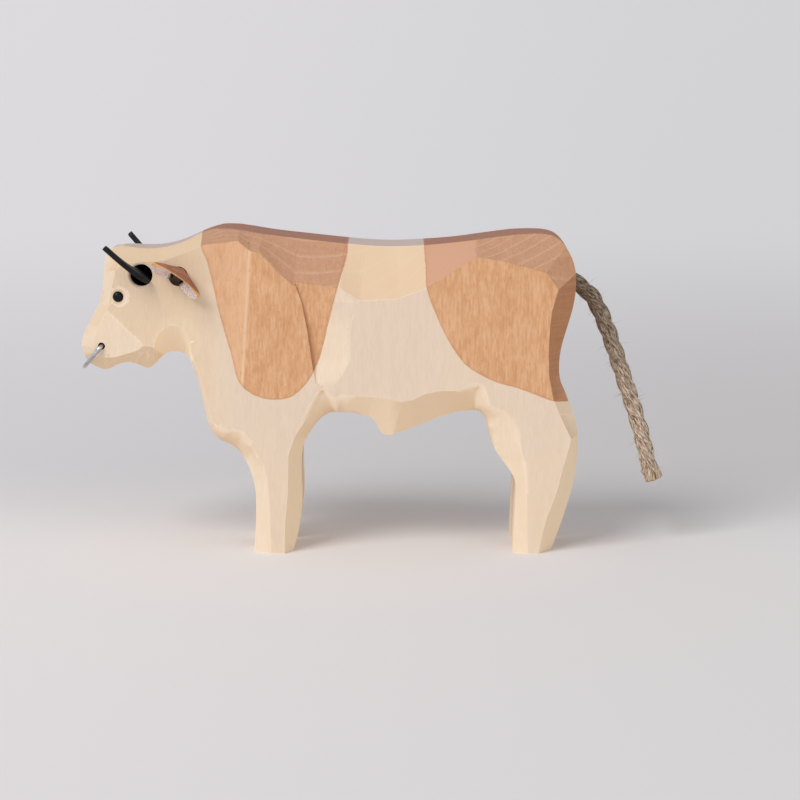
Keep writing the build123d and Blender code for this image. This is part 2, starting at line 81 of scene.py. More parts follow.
class Wire:
    """A socket's value in a node tree. Operators on it add Math nodes, node() any other."""

    def __init__(self, socket):
        self.socket = socket

    @classmethod
    def from_node(cls, tree, kind, inputs, output=0, **settings):
        """A new node's output. Its settings go first, then its values and links."""
        made = tree.nodes.new(kind)
        for name, value in settings.items():
            setattr(made, name, value)
        for key, value in inputs.items():
            if isinstance(value, Wire):
                tree.links.new(value.socket, made.inputs[key])
            else:
                made.inputs[key].default_value = value
        return cls(made.outputs[output])

    def node(self, kind, inputs, output=0, **settings):
        """A new node's output in this wire's tree."""
        return self.from_node(self.socket.id_data, kind, inputs, output, **settings)

    def math(self, operation, first, second):
        """A Math node on two numbers."""
        return self.node("ShaderNodeMath", {0: first, 1: second}, operation=operation)

    def __add__(self, other):
        return self.math("ADD", self, other)

    def __sub__(self, other):
        return self.math("SUBTRACT", self, other)

    def __rsub__(self, other):
        return self.math("SUBTRACT", other, self)

    def __mul__(self, other):
        return self.math("MULTIPLY", self, other)

    def __truediv__(self, other):
        return self.math("DIVIDE", self, other)

    def __mod__(self, other):
        return self.math("FLOORED_MODULO", self, other)

    def __pow__(self, other):
        return self.math("POWER", self, other)

    def __abs__(self):
        return self.math("ABSOLUTE", self, 0)

    __radd__ = __add__
    __rmul__ = __mul__

    def step(self, low, high):
        """Rises smoothly from 0 at low to 1 at high."""
        return self.node(
            "ShaderNodeMapRange",
            {"Value": self, "From Min": low, "From Max": high},
            interpolation_type="SMOOTHSTEP",
        )

    def parts(self):
        """The vector's X, Y and Z."""
        split = self.node("ShaderNodeSeparateXYZ", {"Vector": self}).socket.node
        return [Wire(socket) for socket in split.outputs]

    def noise(self, scale, detail=2.0, roughness=0.5):
        """Smooth noise around 0.5 at this place times the scale, with features one unit wide."""
        scales = np.broadcast_to(scale, 3).tolist()
        place = self.node("ShaderNodeVectorMath", {0: self, 1: scales}, operation="MULTIPLY")
        inputs = {"Vector": place, "Scale": 1.0, "Detail": detail, "Roughness": roughness}
        return self.node("ShaderNodeTexNoise", inputs)

    def between(self, first, second):
        """The first colour where this is 0, the second where it is 1.

        A Mix node's factor is its socket 0, and its two colours are 6 and 7.
        """
        mix = {0: self, 6: first, 7: second}
        return self.node("ShaderNodeMix", mix, output=2, data_type="RGBA")

    def bump(self, depth):
        """The normal of a surface that this height, times the depth, stands out of."""
        return self.node("ShaderNodeBump", {"Height": self, "Distance": depth, "Strength": 1.0})


class Finish:
    """A material with one Principled shader, and the wires that it starts from."""

    def __init__(self, name):
        self.material = bpy.data.materials.new(name)
        self.material.use_nodes = True
        tree = self.material.node_tree
        self.shader = tree.nodes["Principled BSDF"]
        self.place = Wire.from_node(tree, "ShaderNodeTexCoord", {}, output="Object")
        self.normal = Wire.from_node(tree, "ShaderNodeNewGeometry", {}, output="Normal")

    def attribute(self, name):
        """A number that the mesh holds for each of its points."""
        return self.place.node("ShaderNodeAttribute", {}, output="Fac", attribute_name=name)

    def set(self, **inputs):
        """Sets the shader's sockets, whose names are written with underscores here."""
        for name, value in inputs.items():
            socket = self.shader.inputs[name.replace("_", " ")]
            if isinstance(value, Wire):
                self.material.node_tree.links.new(value.socket, socket)
            else:
                socket.default_value = value


def tone(red, green, blue):
    """A screen colour from 0 to 255 as the linear colour that a shader takes."""
    screen = np.array([red, green, blue]) / 255
    linear = np.where(screen < 0.0405, screen / 12.92, ((screen + 0.055) / 1.055) ** 2.4)
    return (*linear.tolist(), 1.0)


# Each side of the floor goes from its near tone to a painted shadow behind the bull and then to
# a far one. What lights the bull from below is paler than what the camera sees.
floor_finish = Finish("studio_floor")
aside, away, _ = floor_finish.place.parts()
floor_sides = []
for near, dim, far in floor_tones.values():
    near_part = away.step(*floor_shadow_span).between(tone(*near), tone(*dim))
    floor_sides.append(away.step(*floor_far_span).between(near_part, tone(*far)))
# The right side is painted in shade, where the light falls off.
right_shade = (aside / (abs(away) + 1.0)).step(*floor_right_shade_span)
camera_ray = floor_finish.place.node("ShaderNodeLightPath", {}, output="Is Camera Ray")
floor_tone = camera_ray.between(tone(*floor_bounce), right_shade.between(*floor_sides))
floor_finish.set(Base_Color=floor_tone, Roughness=0.9, Specular_IOR_Level=0.1)

floor_angle = np.linspace(0, 2 * pi, floor_corners, endpoint=False)
floor_rim = np.stack([np.cos(floor_angle), np.sin(floor_angle), 0 * floor_angle], axis=1)
floor_mesh = bpy.data.meshes.new("studio_floor")
floor_mesh.from_pydata((floor_radius * floor_rim).tolist(), [], [list(range(floor_corners))])
floor_mesh.materials.append(floor_finish.material)
studio_floor = bpy.data.objects.new("studio_floor", floor_mesh)
bpy.context.scene.collection.objects.link(studio_floor)

# The light. Very soft, even light falls from the left front and above, a weaker one fills
# from the right front, and the room is pale all round.
daylight = {
    "key_light": {"from": (-0.80, -0.90, 1.10), "spread": 30.0, "strength": 1.70},
    "fill_light": {"from": (0.90, -1.05, 0.50), "spread": 60.0, "strength": 0.50},
}
room_tone = (250, 250, 255)
room_strength = 0.50
for light_name, light in daylight.items():
    lamp = bpy.data.lights.new(light_name, "SUN")
    lamp.angle = radians(light["spread"])
    lamp.energy = light["strength"]
    sun = bpy.data.objects.new(light_name, lamp)
    sun.location = light["from"]
    sun.rotation_euler = (-sun.location).to_track_quat("-Z", "Y").to_euler()
    bpy.context.scene.collection.objects.link(sun)

# The camera, gloss and glass see the room at full strength, which is white.
room = bpy.data.worlds.new("room")
room.use_nodes = True
bpy.context.scene.world = room
room_light = room.node_tree.nodes["Background"]
room_light.inputs["Color"].default_value = tone(*room_tone)
seen = sum(
    Wire.from_node(room.node_tree, "ShaderNodeLightPath", {}, output=f"Is {kind} Ray")
    for kind in ("Camera", "Glossy", "Transmission")
)
room_glow = room_strength + (1.0 - room_strength) * seen.math("MINIMUM", seen, 1.0)
room.node_tree.links.new(room_glow.socket, room_light.inputs["Strength"])

# The tail. It is natural hemp rope of three strands, laid right-handed, glued into a slanting
# hole in the rump. It hangs under its own weight and its cut end has begun to open.
rope_route = [
    (0.078455, 0.0, 0.096221), (0.089435, 0.0, 0.090385), (0.095035, 0.0, 0.080035),
    (0.101835, 0.0, 0.060935), (0.109035, 0.0, 0.039135), (0.112835, 0.0, 0.022135),
]
rope_length = 0.0845
rope_diameter = 0.0057
strand_radius = 0.00170
strand_pitch = 0.0215
strand_rings = 330
strand_sides = 30
strand_trims = (0.0004, 0.0022, 0.0)
strand_splays = (0.0014, 0.0040, 0.0010)
splay_length = 0.0070
splay_untwist = 0.9
yarn_count = 7
yarn_pitch = 0.024
yarn_height = 0.00017
yarn_shift = 0.013
wobble_height = 0.00008
wobble_length = 0.0061
wobble_phase = 2.1
swell_share = 0.03
swell_length = 0.0037
swell_phase = 1.7


def mesh_points(mesh):
    """The mesh's points, one row each."""
    points = np.zeros(3 * len(mesh.vertices))
    mesh.vertices.foreach_get("co", points)
    return points.reshape(-1, 3)


def mark_points(mesh, **marks):
    """Gives the mesh's points numbers, which its material reads as attributes."""
    for name, values in marks.items():
        marked = mesh.attributes.new(name, "FLOAT", "POINT")
        marked.data.foreach_set("value", np.ravel(values))


def tube_mesh(name, points):
    """A mesh of closed tubes, from points in rows of tubes, rings and places on a ring.

    Quads join each ring to the next one, and one face caps each end of a tube.
    """
    tubes, rings, around, _ = np.shape(points)
    faces = []
    for index in np.arange(tubes * rings * around).reshape(tubes, rings, around):
        turned = np.roll(index, -1, axis=1)
        quads = np.stack([index[:-1], turned[:-1], turned[1:], index[1:]], axis=-1)
        faces += quads.reshape(-1, 4).tolist() + [index[0, ::-1].tolist(), index[-1].tolist()]
    mesh = bpy.data.meshes.new(name)
    mesh.from_pydata(points.reshape(-1, 3).tolist(), [], faces)
    return mesh


def piece(mesh, body, finish):
    """An object of a closed mesh that rides on a body, with its faces turned outwards."""
    shell = bmesh.new()
    shell.from_mesh(mesh)
    bmesh.ops.recalc_face_normals(shell, faces=shell.faces)
    shell.to_mesh(mesh)
    shell.free()
    mesh.shade_smooth()
    mesh.materials.clear()
    mesh.materials.append(finish.material)
    made = bpy.data.objects.new(mesh.name, mesh)
    bpy.context.scene.collection.objects.link(made)
    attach(made, body)
    return made


def curve_points(route):
    """Points along the smooth NURBS line whose control points are the route."""
    line = bpy.data.curves.new("route", "CURVE")
    line.dimensions = "3D"
    line.resolution_u = 48
    spline = line.splines.new("NURBS")
    spline.points.add(len(route) - 1)
    spline.points.foreach_set("co", np.insert(route, 3, 1.0, axis=1).ravel())
    spline.order_u = 3
    spline.use_endpoint_u = True
    carrier = bpy.data.objects.new("route", line)
    mesh = bpy.data.meshes.new_from_object(carrier)
    points = mesh_points(mesh)
    bpy.data.objects.remove(carrier)
    bpy.data.curves.remove(line)
    bpy.data.meshes.remove(mesh)
    return points


def spaced(points, places):
    """The points of a polyline at the given shares of its length."""
    runs = np.linalg.norm(np.diff(points, axis=0), axis=1)
    reached = np.append(0, np.cumsum(runs)) / runs.sum()
    return np.stack([np.interp(places, reached, axis) for axis in points.T], axis=-1)


def unit(vectors):
    """The vectors at length 1."""
    return vectors / np.linalg.norm(vectors, axis=-1, keepdims=True)


def outwards(ahead, turn):
    """Directions square to the ones ahead, turned about them from +Y."""
    level = np.array([0.0, 1.0, 0.0])
    return np.cos(turn)[..., None] * level + np.sin(turn)[..., None] * np.cross(level, ahead)


# Each strand's middle circles the rope's line, and yarns stand out of it as low ridges that
# wind the other way. Near the cut end the circle opens and untwists. The strand wobbles and
# swells a little, as hand-laid rope does. Arrays run over strands, rings and ring places.
rope_line = curve_points(rope_route)
strand = np.arange(3)[:, None]
trim, splay = np.array(strand_trims)[:, None], np.array(strand_splays)[:, None]
share = np.linspace(0, 1, strand_rings) * (1 - trim / rope_length)
run = share * rope_length
line = spaced(rope_line, share)
opening = np.clip(1 - (rope_length - run) / splay_length, 0, 1) ** 2
wobble = wobble_height * np.sin(run / wobble_length + wobble_phase * strand)
circle = rope_diameter / 2 - strand_radius + wobble + splay * opening
turn = 2 * pi * (run / strand_pitch + strand / 3) - splay_untwist * opening
strand_out = outwards(unit(np.gradient(line, axis=1)), turn)
middle = line + circle[..., None] * strand_out
tangent = unit(np.gradient(middle, axis=1))
strand_out = unit(strand_out - (strand_out * tangent).sum(-1, keepdims=True) * tangent)
strand_across = np.cross(tangent, strand_out)
angle = np.linspace(0, 2 * pi, strand_sides, endpoint=False)
yarn = np.cos(yarn_count * (angle - 2 * pi * run[..., None] / yarn_pitch))
swell = 1 + swell_share * np.sin(run / swell_length + swell_phase * strand)
radius = strand_radius * swell[..., None] + yarn_height * yarn
ring = (
    np.cos(angle)[:, None] * strand_out[..., None, :]
    + np.sin(angle)[:, None] * strand_across[..., None, :]
)
rope_mesh = tube_mesh("tail_rope_strands", middle[..., None, :] + radius[..., None] * ring)
around_strand = angle * strand_radius + yarn_shift * strand[..., None]
mark_points(
    rope_mesh,
    yarn_across=np.broadcast_to(around_strand, yarn.shape),
    yarn_along=np.broadcast_to(run[..., None], yarn.shape),
    cut_end=np.broadcast_to(opening[..., None], yarn.shape),
)

# Fibres show as fine dark and light threads along the yarns. The rope is darker near the rump
# and paler further down, and its cut end is a little redder.
fibre_slant = 0.45
upper_rope_tones = ((54, 43, 34), (172, 153, 132))
lower_rope_tones = ((100, 81, 65), (234, 212, 190))
upper_to_lower_span = (0.022, 0.078)
rope_finish = Finish("hemp_rope")
along, across_yarn = rope_finish.attribute("yarn_along"), rope_finish.attribute("yarn_across")
unrolled = along.node("ShaderNodeCombineXYZ", {0: across_yarn - along * fibre_slant, 1: along})
fibre = unrolled.noise((2800, 420, 1), detail=4.0, roughness=0.7)
clump = rope_finish.place.noise(420, detail=1.0)
upper_rope, lower_rope = (
    fibre.step(0.38, 0.62).between(tone(*dark), tone(*light))
    for dark, light in (upper_rope_tones, lower_rope_tones)
)
rope_tone = (along + clump * 0.02).step(*upper_to_lower_span).between(upper_rope, lower_rope)
rope_tone = (clump.step(0.4, 0.8) * 0.4).between(rope_tone, tone(150, 130, 110))
rope_tone = (rope_finish.attribute("cut_end") * 0.35).between(rope_tone, tone(196, 162, 124))
rope_finish.set(
    Base_Color=rope_tone, Roughness=0.9, Normal=fibre.bump(0.00030), Specular_IOR_Level=0.2
)
tail_rope = piece(rope_mesh, "bull", rope_finish)
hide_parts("tail_rope")

# Loose fibres stand off the rope. Each is a thin tapered tube on a line that goes straight
# out and bends away with the square of its share.
fibre_count = 300
fibre_rings = 6
fibre_sides = 4
fibre_places = (0.12, 0.98)
fibre_sink = 0.0004
fibre_reaches = (0.0008, 0.0042)
fibre_sway = 0.0022
fibre_lean = 0.35
fibre_root_radius = 0.0000575
fibre_tip_radius = 0.0000075
ahead_share = 0.01
rope_draws = np.random.default_rng(7)
fibre_start = np.ptp(fibre_places) * rope_draws.random(fibre_count) + fibre_places[0]
fibre_turn = 2 * pi * rope_draws.random(fibre_count)
fibre_reach = np.ptp(fibre_reaches) * rope_draws.random(fibre_count) ** 3 + fibre_reaches[0]
fibre_drift = fibre_sway * (rope_draws.random((fibre_count, 2)) - fibre_lean)
root = spaced(rope_line, fibre_start)
root_ahead = unit(spaced(rope_line, fibre_start + ahead_share) - root)
root_out = outwards(root_ahead, fibre_turn)
root_along = np.cross(root_out, root_ahead)
stage = np.linspace(0, 1, fibre_rings)[:, None]
fibre_line = (
    (root + root_out * (rope_diameter / 2 - fibre_sink))[:, None]
    + (root_out * fibre_reach[:, None])[:, None] * stage
    + (root_ahead * fibre_drift[:, :1] + root_along * fibre_drift[:, 1:])[:, None] * stage**2
)
fibre_angle = np.linspace(0, 2 * pi, fibre_sides, endpoint=False)[:, None]
fibre_ring = (
    np.cos(fibre_angle) * root_ahead[:, None, None]
    + np.sin(fibre_angle) * root_along[:, None, None]
)
fibre_radius = fibre_root_radius + (fibre_tip_radius - fibre_root_radius) * stage[..., None]
fibre_mesh = tube_mesh("tail_rope_fibres", fibre_line[:, :, None] + fibre_radius * fibre_ring)
fibre_finish = Finish("loose_hemp")
fibre_tone = fibre_finish.place.noise(300).between(tone(150, 128, 104), tone(205, 186, 160))
fibre_finish.set(Base_Color=fibre_tone, Roughness=0.8)
tail_fibres = piece(fibre_mesh, "bull", fibre_finish)

# The body. It is one plank of limewood, sawn to the outline and cut to facets with a knife, and
# its hollows are rubbed round. Its grain runs upright.
longest_edge = 0.0018
split_rounds = 8
same_point = 1e-6
thinnest_face = 1e-5
rubbed_hollows = {
    "armpit": ((0.0010, 0.0490), 0.0095),
    "groin": ((0.0565, 0.0470), 0.0095),
    "flank_end": ((0.0500, 0.0560), 0.0050),
    "thigh": ((0.0620, 0.0465), 0.0085),
    "chest": ((-0.0345, 0.0390), 0.0070),
}
rubbing_rounds = 30
rubbing_share = 0.5
knife_ridge = radians(5.0)
sharp_edge = radians(9.0)


def split_to_triangles(shell):
    """Cuts every face that has more than three corners."""
    bmesh.ops.triangulate(shell, faces=[face for face in shell.faces if len(face.verts) > 3])


carved_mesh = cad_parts["carved_body"].data.copy()
carved_mesh.name = "bull_carving"
carving = bmesh.new()
carving.from_mesh(carved_mesh)
bmesh.ops.remove_doubles(carving, verts=carving.verts, dist=same_point)
for _ in range(split_rounds):
    long_edges = [edge for edge in carving.edges if edge.calc_length() > longest_edge]
    bmesh.ops.subdivide_edges(carving, edges=long_edges, cuts=1)
    split_to_triangles(carving)
bmesh.ops.dissolve_degenerate(carving, edges=carving.edges, dist=thinnest_face)
split_to_triangles(carving)

# The hollows between the trunk and the legs are rubbed round, most of all in their middles.
# Each has its middle's X and Z and its reach.
rubbed_mark = carving.verts.layers.float.new("rubbed")
for (hollow_x, hollow_z), reach in rubbed_hollows.values():
    spans = {
        vert: ((vert.co.x - hollow_x) ** 2 + (vert.co.z - hollow_z) ** 2) ** 0.5
        for vert in carving.verts
    }
    hollow = [vert for vert, span in spans.items() if span < reach]
    for vert in hollow:
        vert[rubbed_mark] = 1.0
    for round_number in range(rubbing_rounds):
        rubbed_reach = reach * (1 - round_number / rubbing_rounds)
        rubbed = [vert for vert in hollow if spans[vert] < rubbed_reach]
        bmesh.ops.smooth_vert(
            carving, verts=rubbed, factor=rubbing_share,
            use_axis_x=True, use_axis_y=True, use_axis_z=True,
        )

# Where two facets meet in a ridge, its points are marked for the line along it: lighter on bare
# wood, as sanded wear with a painted highlight, and darker where stained.
ridge_mark = carving.verts.layers.float.new("ridge")
for edge in carving.edges:
    in_hollow = max(vert[rubbed_mark] for vert in edge.verts)
    if edge.calc_face_angle_signed(0.0) > knife_ridge and not in_hollow:
        for vert in edge.verts:
            vert[ridge_mark] = 1.0
carving.to_mesh(carved_mesh)
carving.free()


def signed_distance(points, outline):
    """Distance of points from a closed outline in a plane, above zero inside it.

    It is the least distance to any side, with the sign of an odd or even count of the
    sides that a ray to the right crosses.
    """
    nearest = np.full(len(points), np.inf)
    inside = np.zeros(len(points), bool)
    for start, end in zip(outline, np.roll(outline, -1, axis=0)):
        run = end - start
        share = np.clip(((points - start) @ run) / (run @ run), 0, 1)
        gap = points - start - share[:, None] * run
        nearest = np.minimum(nearest, (gap**2).sum(1))
        rises = (start[1] > points[:, 1]) != (end[1] > points[:, 1])
        if run[1]:
            meets = start[0] + run[0] * (points[:, 1] - start[1]) / run[1]
            inside ^= rises & (points[:, 0] < meets)
    return np.where(inside, 1, -1) * np.sqrt(nearest)


def rounded(corners, steps=8):
    """A closed Catmull-Rom curve through the corners."""
    before, here, after, later = (np.roll(corners, shift, axis=0) for shift in (1, 0, -1, -2))
    share = np.linspace(0, 1, steps, endpoint=False)[None, :, None]
    curve = (
        2 * here[:, None]
        + (after - before)[:, None] * share
        + (2 * before - 5 * here + 4 * after - later)[:, None] * share**2
        + (3 * here - before - 3 * after + later)[:, None] * share**3
    ) / 2
    return curve.reshape(-1, 2)


# Two patches of brown stain on each side, over the shoulder and over the rump. The stain
# crosses the back, and the places are X and Z on the side.
shoulder_patch = np.array([
    (-0.0437, 0.125), (-0.0436, 0.1080), (-0.0410, 0.1000), (-0.0374, 0.0841),
    (-0.0337, 0.0703), (-0.0304, 0.0593), (-0.0229, 0.0544), (-0.0140, 0.0544),
    (-0.0082, 0.0589), (-0.0037, 0.0667), (-0.0006, 0.0780), (0.0030, 0.0920),
    (0.0060, 0.1020), (0.0066, 0.1090), (0.0068, 0.125),
])
rump_patch = np.array([
    (0.0318, 0.125), (0.0324, 0.1076), (0.0331, 0.0980), (0.0333, 0.0923),
    (0.0359, 0.0848), (0.0407, 0.0745), (0.0465, 0.0662), (0.0551, 0.0607),
    (0.0654, 0.0575), (0.0757, 0.0536), (0.0823, 0.0523), (0.0920, 0.0520),
    (0.1000, 0.0700), (0.1000, 0.125),
])
body_points = mesh_points(carved_mesh)
stain_distance = np.maximum(
    signed_distance(body_points[:, ::2], rounded(shoulder_patch)),
    signed_distance(body_points[:, ::2], rounded(rump_patch)),
)

# The horn holes are near black inside, and their rims a little darker. The sizes of the left
# hole serve both sides.
horn_hole = (-0.063798, -0.018525, 0.096448)
horn_hole_radius = 0.00375
black_rim = 0.0003
black_depth = 0.0004
rim_black = 0.3
from_horn = np.hypot(body_points[:, 0] - horn_hole[0], body_points[:, 2] - horn_hole[2])
sunk = -horn_hole[1] - np.abs(body_points[:, 1])
hole_black = np.clip(sunk / black_depth + rim_black, 0, 1)
hole_black *= from_horn < horn_hole_radius + black_rim
mark_points(carved_mesh, stain_distance=stain_distance, hole_black=hole_black)

# The growth rings stand round the log's heart, whose X and Y lie outside the plank.
log_heart = (-0.012, 0.110)
ring_spacing = 0.0030
ring_bends = 0.004
ring_lean = 0.02


def distance(first, second, centre):
    """How far two coordinates are from a centre in their plane."""
    run, rise = first - centre[0], second - centre[1]
    return (run * run + rise * rise) ** 0.5


wood_finish = Finish("limewood")
wood_place = wood_finish.place
wood_x, wood_y, wood_z = wood_place.parts()
grain = wood_place.noise((1500, 1500, 260), detail=3.0, roughness=0.6)
streak = wood_place.noise((420, 420, 36))
cloud = wood_place.noise((38, 38, 22))
blotch = wood_place.noise((210, 210, 110), detail=3.0, roughness=0.6)
fleck = wood_place.noise((1500, 1500, 420), roughness=0.6)
saw_band = wood_place.noise((50, 50, 760))
fine = (grain * 0.7 + streak * 0.3).step(0.30, 0.70)
ring_bend = wood_place.noise((24, 24, 9)) * ring_bends
log_radius = distance(wood_x, wood_y, log_heart) + ring_bend + wood_z * ring_lean
ring_phase = (log_radius / ring_spacing) % 1.0
ring_line = ring_phase.step(0.72, 0.93) * (1.0 - ring_phase.step(0.93, 1.0))

# The plank's flat sides and its sawn outline keep their own tones, and so do the knife's
# facets: creamy where bare, browner where stained. End grain shows on the sawn back.
across_back, side_on, upward = wood_finish.normal.parts()
sawn_side = abs(side_on).step(0.992, 0.999)
sawn_outline = 1.0 - abs(side_on).step(0.02, 0.08)
end_grain = sawn_outline * upward.step(0.55, 0.85)
upper_facet = (1.0 - sawn_outline) * upward.step(0.15, 0.45)
under_facet = upward.step(-0.15, -0.60)
rear_facet = across_back.step(0.25, 0.60) * (1.0 - upper_facet) * (1.0 - end_grain)
ridge_line = wood_finish.attribute("ridge").step(0.70, 1.0)

# Bare wood. The head is yellower than the trunk. Painted light brightens the rear-facing facets
# and those that face down, where the lamps reach less, and makes the front of the belly and the
# hollow of the throat palest.
head_span = (-0.030, -0.048)
belly_spans = ((0.003, 0.006), (0.024, 0.020))
throat = (-0.0520, 0.0742)
throat_span = (0.0092, 0.0078)
flat_wood = fine.between(tone(221, 199, 177), tone(226, 206, 186))
head_wood = fine.between(tone(219, 193, 163), tone(224, 200, 172))
cut_wood = fine.between(tone(231, 209, 184), tone(236, 216, 193))
pale = sawn_side.between(cut_wood, wood_x.step(*head_span).between(flat_wood, head_wood))
pale = upper_facet.between(pale, tone(221, 193, 161))
# Painted light: rear-facing facets are lighter, where the lamps reach them less.
pale = (rear_facet * 0.6).between(pale, tone(240, 215, 180))
pale = (cloud.step(0.40, 0.80) * 0.35).between(pale, tone(232, 206, 172))
pale = (ring_line * upper_facet * 0.05).between(pale, tone(246, 226, 200))
# Painted light: facets that face down are lighter, most of all at the front of the belly and in
# the throat.
pale = under_facet.between(pale, tone(234, 206, 174))
in_belly = under_facet * wood_x.step(*belly_spans[0]) * wood_x.step(*belly_spans[1])
pale = (in_belly * 0.7).between(pale, tone(250, 228, 200))
in_throat = distance(wood_x, wood_z, throat).step(*throat_span) * (1.0 - sawn_side)
pale = (in_throat * 0.8).between(pale, tone(252, 230, 200))
pale = end_grain.between(pale, tone(192, 174, 166))
# Ridges on bare wood are lighter: sanded wear, and a painted highlight where the edge catches
# the light.
pale = (ridge_line * 0.4).between(pale, tone(248, 230, 206))

# Stained wood. Painted light makes it lighter in front of the shoulder's upright line, X = 0.063
# Z - 0.0334, where the neck's facet turns to the light, and a painted highlight runs along the
# line. It is blotched on the flat side, and plainer and redder over the loin.
shoulder_slope = 0.063
shoulder_foot = -0.0334
shoulder_lit_span = (0.0003, -0.0003)
shoulder_highlight_span = (0.0008, 0.0002)
loin_spans = ((0.028, 0.032), (0.0512, 0.0498))
stained = (grain * 0.85 + streak * 0.15).step(0.32, 0.68).between(
    tone(204, 152, 110), tone(221, 174, 134)
)
from_line = wood_x - wood_z * shoulder_slope - shoulder_foot
# Painted light in front of the shoulder line, and a painted highlight along it.
stained = (from_line.step(*shoulder_lit_span) * 0.45).between(stained, tone(230, 188, 152))
stained = (abs(from_line).step(*shoulder_highlight_span) * 0.6).between(stained, tone(238, 202, 170))
stained = (blotch.step(0.50, 0.70) * 0.36).between(stained, tone(196, 138, 92))
stained = (blotch.step(0.42, 0.28) * 0.35).between(stained, tone(228, 184, 146))
stained = (fleck.step(0.60, 0.70) * 0.25).between(stained, tone(170, 112, 72))
facet_stain = fine.between(tone(184, 138, 107), tone(196, 151, 121))
loin = wood_x.step(*loin_spans[0]) * wood_x.step(*loin_spans[1])
facet_stain = (loin * 0.8).between(facet_stain, tone(207, 160, 132))
stained = upper_facet.between(stained, facet_stain)
stained = (ring_line * (1.0 - loin) * upper_facet * 0.28).between(stained, tone(222, 184, 156))
# Rear-facing facets are darker: deeper stain, and painted shade where the lamps reach them less.
stained = (rear_facet * (saw_band * 0.5 + 0.5)).between(stained, tone(165, 112, 78))
stained = end_grain.between(stained, fleck.between(tone(130, 86, 69), tone(172, 126, 102)))
stained = (ridge_line * blotch.step(0.40, 0.60) * 0.45).between(stained, tone(168, 108, 66))

# The stain bleeds a little along the grain and pools darker inside its edge.
stain_edge_span = (-0.00012, 0.00018)
stain_pool_span = (0.0002, 0.0009)
bleed = (grain - 0.5) * 0.0006 + (streak - 0.5) * 0.0004
edge_place = wood_finish.attribute("stain_distance") + bleed
stain_mask = edge_place.step(*stain_edge_span)
stain_pool = stain_mask * (1.0 - edge_place.step(*stain_pool_span)) * 0.35
wood_tone = stain_mask.between(pale, stained)
wood_tone = stain_pool.between(wood_tone, tone(184, 128, 84))
wood_tone = wood_finish.attribute("hole_black").between(wood_tone, tone(14, 13, 13))
wood_finish.set(
    Base_Color=wood_tone, Roughness=0.75, Normal=(grain * 0.7 + streak * 0.3).bump(0.00005),
    Specular_IOR_Level=0.2,
)
bull_carving = piece(carved_mesh, "bull", wood_finish)

# Edges where facets meet at a clear angle are sharp, except in the rubbed hollows.
carved_mesh.set_sharp_from_angle(angle=sharp_edge)
rubbed_points = np.zeros(len(carved_mesh.vertices))
carved_mesh.attributes["rubbed"].data.foreach_get("value", rubbed_points)
edge_ends = np.zeros(2 * len(carved_mesh.edges), int)
carved_mesh.edges.foreach_get("vertices", edge_ends)
edge_sharp = np.zeros(len(carved_mesh.edges), bool)
carved_mesh.edges.foreach_get("use_edge_sharp", edge_sharp)
edge_sharp &= rubbed_points[edge_ends.reshape(-1, 2)].min(axis=1) < 0.5
carved_mesh.edges.foreach_set("use_edge_sharp", edge_sharp)
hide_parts("carved_body")

# The horns. Each is a crescent cut from thick black leather, whose root is wedged edgeways in
# its round hole. The left one rises less steeply than the right one.
horn_thickness = 0.0018
horn_width = 0.006906
horn_depth = 0.0089
horn_spread = 0.0130
horn_tip_width = 0.0018
horn_tip_bevel = 0.0012
horn_rises = {"left": 43.4, "right": 48.2}
horn_reaches = {"left": 0.0156, "right": 0.0131}
horn_roundness = 0.35
horn_rings = 60
horn_root_rings = 14
horn_sides = 32
sides = {"left": 1, "right": -1}


def squared(wave, roundness):
    """A sine or cosine pushed towards -1 and 1: a circle at roundness 1, a square near 0."""
    return np.sign(wave) * np.abs(wave) ** roundness


def horn_edge(start_up, tip_out, tip_up):
    """An edge of a horn, out of the head and up: straight in the hole, then an ellipse.

    The straight run is as deep as the hole. The quarter ellipse goes from its mouth to the tip.
    """
    sweep = np.linspace(0, pi / 2, horn_rings - horn_root_rings)
    root_out = np.linspace(-horn_depth, 0, horn_root_rings, endpoint=False)
    root_up = np.full(horn_root_rings, start_up)
    out = np.append(root_out, tip_out * np.sin(sweep))
    up = np.append(root_up, tip_up - (tip_up - start_up) * np.cos(sweep))
    return np.stack([out, up])[..., None]


def crescent(rise, reach, side):
    """The rings of a horn: rounded oblong sections from its outer edge to its inner one.

    The crescent lies in a plane through the hole that rises forwards at that angle. Right
    horns are mirrored.
    """
    outer = horn_edge(-horn_width / 2, horn_spread, reach)
    inner = horn_edge(horn_width / 2, horn_spread - horn_tip_width, reach - horn_tip_bevel)
    angle = np.linspace(0, 2 * pi, horn_sides, endpoint=False)
    share = (squared(np.cos(angle), horn_roundness) + 1) / 2
    thick = squared(np.sin(angle), horn_roundness) * horn_thickness / 2
    out, up = outer * share + inner * (1 - share)
    lean = np.array([-cos(radians(rise)), 0, sin(radians(rise))])
    flat = np.array([sin(radians(rise)), 0, cos(radians(rise))])
    points = (
        np.array(horn_hole)
        + out[..., None] * [0, -1, 0]
        + up[..., None] * lean
        + thick[:, None] * flat
    )
    return points * [1, side, 1]


horn_finish = Finish("black_leather")
hide = horn_finish.place.noise(2600, detail=3.0, roughness=0.6)
creases = horn_finish.place.noise(420)
horn_tone = (hide * 0.6 + creases * 0.4).step(0.35, 0.7).between(tone(8, 8, 9), tone(34, 34, 34))
horn_finish.set(
    Base_Color=horn_tone, Roughness=hide.step(0.3, 0.7) * 0.2 + 0.55,
    Normal=hide.bump(0.00008), Specular_IOR_Level=0.2,
)
for side_name, side in sides.items():
    rings = crescent(horn_rises[side_name], horn_reaches[side_name], side)
    mesh = tube_mesh(f"{side_name}_horn_strap", rings[None])
    horn = piece(mesh, "bull", horn_finish)
    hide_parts(f"{side_name}_horn")

